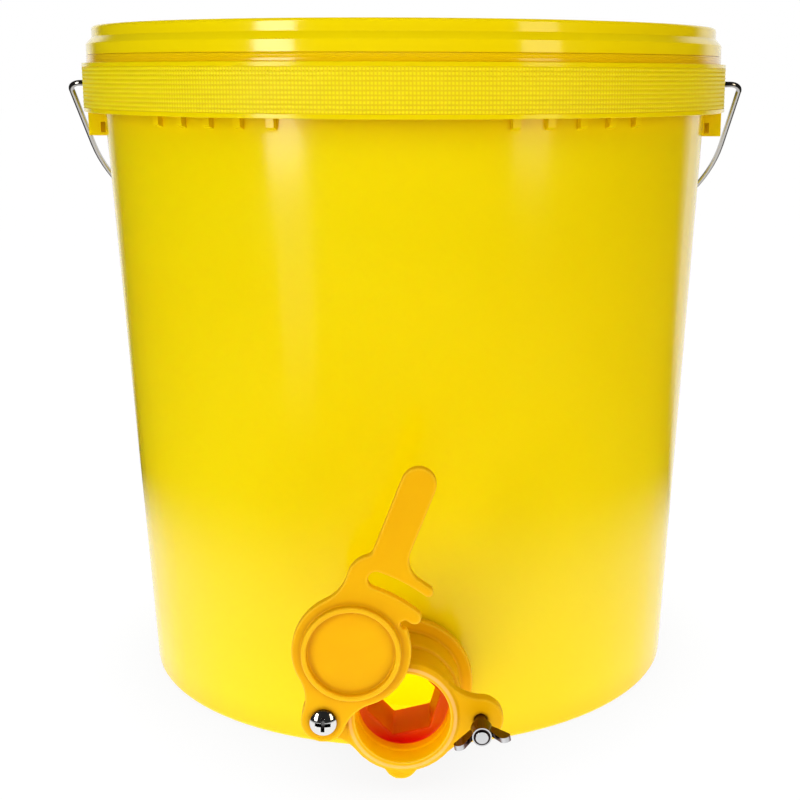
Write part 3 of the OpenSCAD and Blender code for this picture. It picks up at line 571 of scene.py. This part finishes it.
# A painted contact shadow, darker where the tub closes the floor in.
floor_contact = put(floor_tree, "ShaderNodeAmbientOcclusion", [("Distance", contact_reach)]).outputs["AO"]
floor_glow = put(floor_tree, "ShaderNodeEmission", [
    ("Color", ramp(floor_tree, floor_contact, [(0, contact_painted_shadow), (0.9, white)])),
    ("Strength", floor_white_level)])
floor_seen = put(floor_tree, "ShaderNodeMixShader", [
    ("Fac", reckon(floor_tree, "MULTIPLY", floor_path["Is Camera Ray"], floor_seen_share)),
    (1, floor_lit.outputs["Shader"]),
    (2, floor_glow.outputs["Emission"])])
floor_heading = reckon_vector(floor_tree, "NORMALIZE", floor_place)
floor_behind = reckon_vector(floor_tree, "DOT_PRODUCT", floor_heading, straight_behind)
floor_back = spread(floor_tree, floor_behind, behind_dark, behind_white, smooth=True)
floor_plain_gleam = reckon(floor_tree, "MAXIMUM", floor_back, floor_near)
floor_from_wall = reckon_vector(floor_tree, "SUBTRACT", floor_place, streak_start)
floor_bearing = reckon_vector(floor_tree, "NORMALIZE", floor_from_wall)
floor_along = reckon_vector(floor_tree, "DOT_PRODUCT", floor_bearing, streak_heading)
floor_beam = spread(floor_tree, floor_along, streak_edge, streak_core, smooth=True)
floor_far = spread(floor_tree, floor_distance, streak_near, streak_far, end=streak_gleam, smooth=True)
floor_streak = reckon(floor_tree, "MULTIPLY", floor_beam, floor_far)
floor_gleam = put(floor_tree, "ShaderNodeEmission", [
    ("Strength", reckon(floor_tree, "MAXIMUM", floor_plain_gleam, floor_streak))])
floor_mirrored = put(floor_tree, "ShaderNodeMixShader", [
    ("Fac", floor_path["Is Glossy Ray"]),
    (1, floor_seen.outputs["Shader"]),
    (2, floor_gleam.outputs["Emission"])])
set_inputs(floor_tree, floor_tree.nodes["Material Output"], [("Surface", floor_mirrored.outputs["Shader"])])
floor_mesh.materials.append(floor_white)
floor = bpy.data.objects.new("floor", floor_mesh)
scene.collection.objects.link(floor)

# Surround: white to the camera, and a weak warm fill to everything else.
# In shine it is white straight behind and dark elsewhere, which shows in the bright metal.
surround_dark = (0.02, 0.02, 0.02, 1)
fill_colour = (1, 0.86, 0.66, 1)
fill_level = 0.12
surround = bpy.data.worlds.new("white_surround")
scene.world = surround
surround.use_nodes = True
sky = surround.node_tree
sky.nodes.clear()
sky_ray = put(sky, "ShaderNodeLightPath").outputs
sky_direction = put(sky, "ShaderNodeTexCoord").outputs["Generated"]
sky_behind = reckon_vector(sky, "DOT_PRODUCT", sky_direction, straight_behind)
sky_front = spread(sky, sky_behind, behind_white, behind_dark, smooth=True)
sky_mirrored = put(sky, "ShaderNodeBackground", [("Color", blend(sky, sky_front, white, surround_dark))])
sky_fill = put(sky, "ShaderNodeBackground", [("Color", fill_colour), ("Strength", fill_level)])
sky_white = put(sky, "ShaderNodeBackground", [("Color", white)])
sky_unseen = put(sky, "ShaderNodeMixShader", [
    ("Fac", reckon(sky, "MAXIMUM", sky_ray["Is Glossy Ray"], sky_ray["Is Transmission Ray"])),
    (1, sky_fill.outputs["Background"]),
    (2, sky_mirrored.outputs["Background"])])
sky_all = put(sky, "ShaderNodeMixShader", [
    ("Fac", sky_ray["Is Camera Ray"]),
    (1, sky_unseen.outputs["Shader"]),
    (2, sky_white.outputs["Background"])])
put(sky, "ShaderNodeOutputWorld", [("Surface", sky_all.outputs["Shader"])])


# Lamps: a large soft box above the camera, a tall one on each side, two warm fills in front, one box overhead,
# two behind, and a small lamp under the lid that lights the inside.
# Only the two tall boxes show in shine.
def soft_box(name, place, aim, size, power, colour=(1, 1, 1), mirrored=False):
    """A rectangular lamp that points at its aim; a mirrored one also shows in shine."""
    lamp = bpy.data.lights.new(name, "AREA")
    lamp.shape = "RECTANGLE"
    lamp.size, lamp.size_y = size
    lamp.energy = power
    lamp.color = colour
    holder = bpy.data.objects.new(name, lamp)
    holder.location = place
    holder.rotation_euler = (Vector(aim) - Vector(place)).to_track_quat("-Z", "Y").to_euler()
    holder.visible_glossy = mirrored
    scene.collection.objects.link(holder)
    return holder


def on_ring(bearing_degrees, height):
    """A place on the ring of lamps round the tub, by its bearing from straight in front and its height."""
    ring_radius = 1.5
    turn = math.radians(bearing_degrees)
    return ring_radius * math.sin(turn), -ring_radius * math.cos(turn), height


right_bearing = 44.5
rear_bearing = 163
soft_box("top_box", (0, -1.2, 1.6), aim=(0, 0, 0.2), size=(1.2, 0.7), power=7.8)
soft_box("left_strip", on_ring(left_bearing, 0.52), aim=(0, 0, 0.3), size=(0.36, 0.9), power=8.1,
         colour=(1, 0.97, 0.9), mirrored=True)
soft_box("right_strip", on_ring(right_bearing, 0.52), aim=(0, 0, 0.3), size=(0.36, 0.9), power=3.1,
         colour=(1, 0.88, 0.66), mirrored=True)
soft_box("right_fill", (1.2, -1.0, 0.5), aim=(0, 0, 0.3), size=(0.6, 0.9), power=3.5, colour=(1, 0.8, 0.5))
soft_box("front_fill", (0, -2.2, 0.35), aim=(0, 0, 0.2), size=(1.6, 0.6), power=1.2, colour=(1, 0.84, 0.6))
soft_box("overhead", (0, 0.5, 1.8), aim=(0, 0, 0.35), size=(1, 1), power=9)
soft_box("rear_left", on_ring(-rear_bearing, 0.6), aim=(0, 0, 0.2), size=(0.6, 0.9), power=7.5)
soft_box("rear_right", on_ring(rear_bearing, 0.6), aim=(0, 0, 0.2), size=(0.6, 0.9), power=7.5)
inside_lamp = soft_box("inside_lamp", (0, 0, 0.26), aim=(0, 0, 0), size=(0.2, 0.2), power=0.6)
inside_lamp.visible_camera = False

# Camera: where the photograph was taken from, level with the collar and looking a little down.
# The frame is shifted, so that the object lies in it as it does there.
camera_data = bpy.data.cameras.new("camera")
camera_data.sensor_width = 36
camera_data.lens = 62.53
camera_data.shift_x = -0.0857
camera_data.shift_y = -0.0268
camera = bpy.data.objects.new("camera", camera_data)
camera.location = (0.0158, -0.7984, 0.3330)
camera.rotation_euler = (math.radians(90 - 12.30), math.radians(-0.15), math.radians(-1.35))
scene.collection.objects.link(camera)
scene.camera = camera
